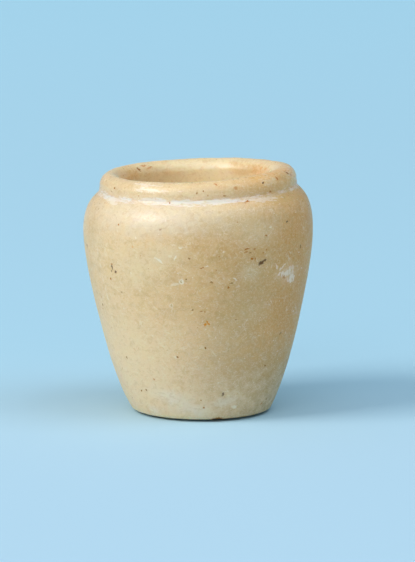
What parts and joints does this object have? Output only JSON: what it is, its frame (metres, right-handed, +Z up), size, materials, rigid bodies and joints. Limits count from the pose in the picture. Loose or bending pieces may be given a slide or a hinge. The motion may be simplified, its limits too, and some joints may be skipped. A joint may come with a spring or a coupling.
{
  "type": "kohl jar",
  "caption": "Small squat stone pot for eye paint: flat foot, flaring sides, round shoulder, thick rolled rim over a shallow groove, and a wide drilled bore",
  "frame": {"origin": "the middle of the flat underside", "axes": "+Z up, along the axis that the jar was turned about; the front is towards -Y and +X is to the right of it"},
  "size_m": [0.0417, 0.0418, 0.0449],
  "materials": {
    "travertine": "satin"
  },
  "bodies": {
    "root": {"kohl_jar": "travertine"}
  },
  "joints": []
}
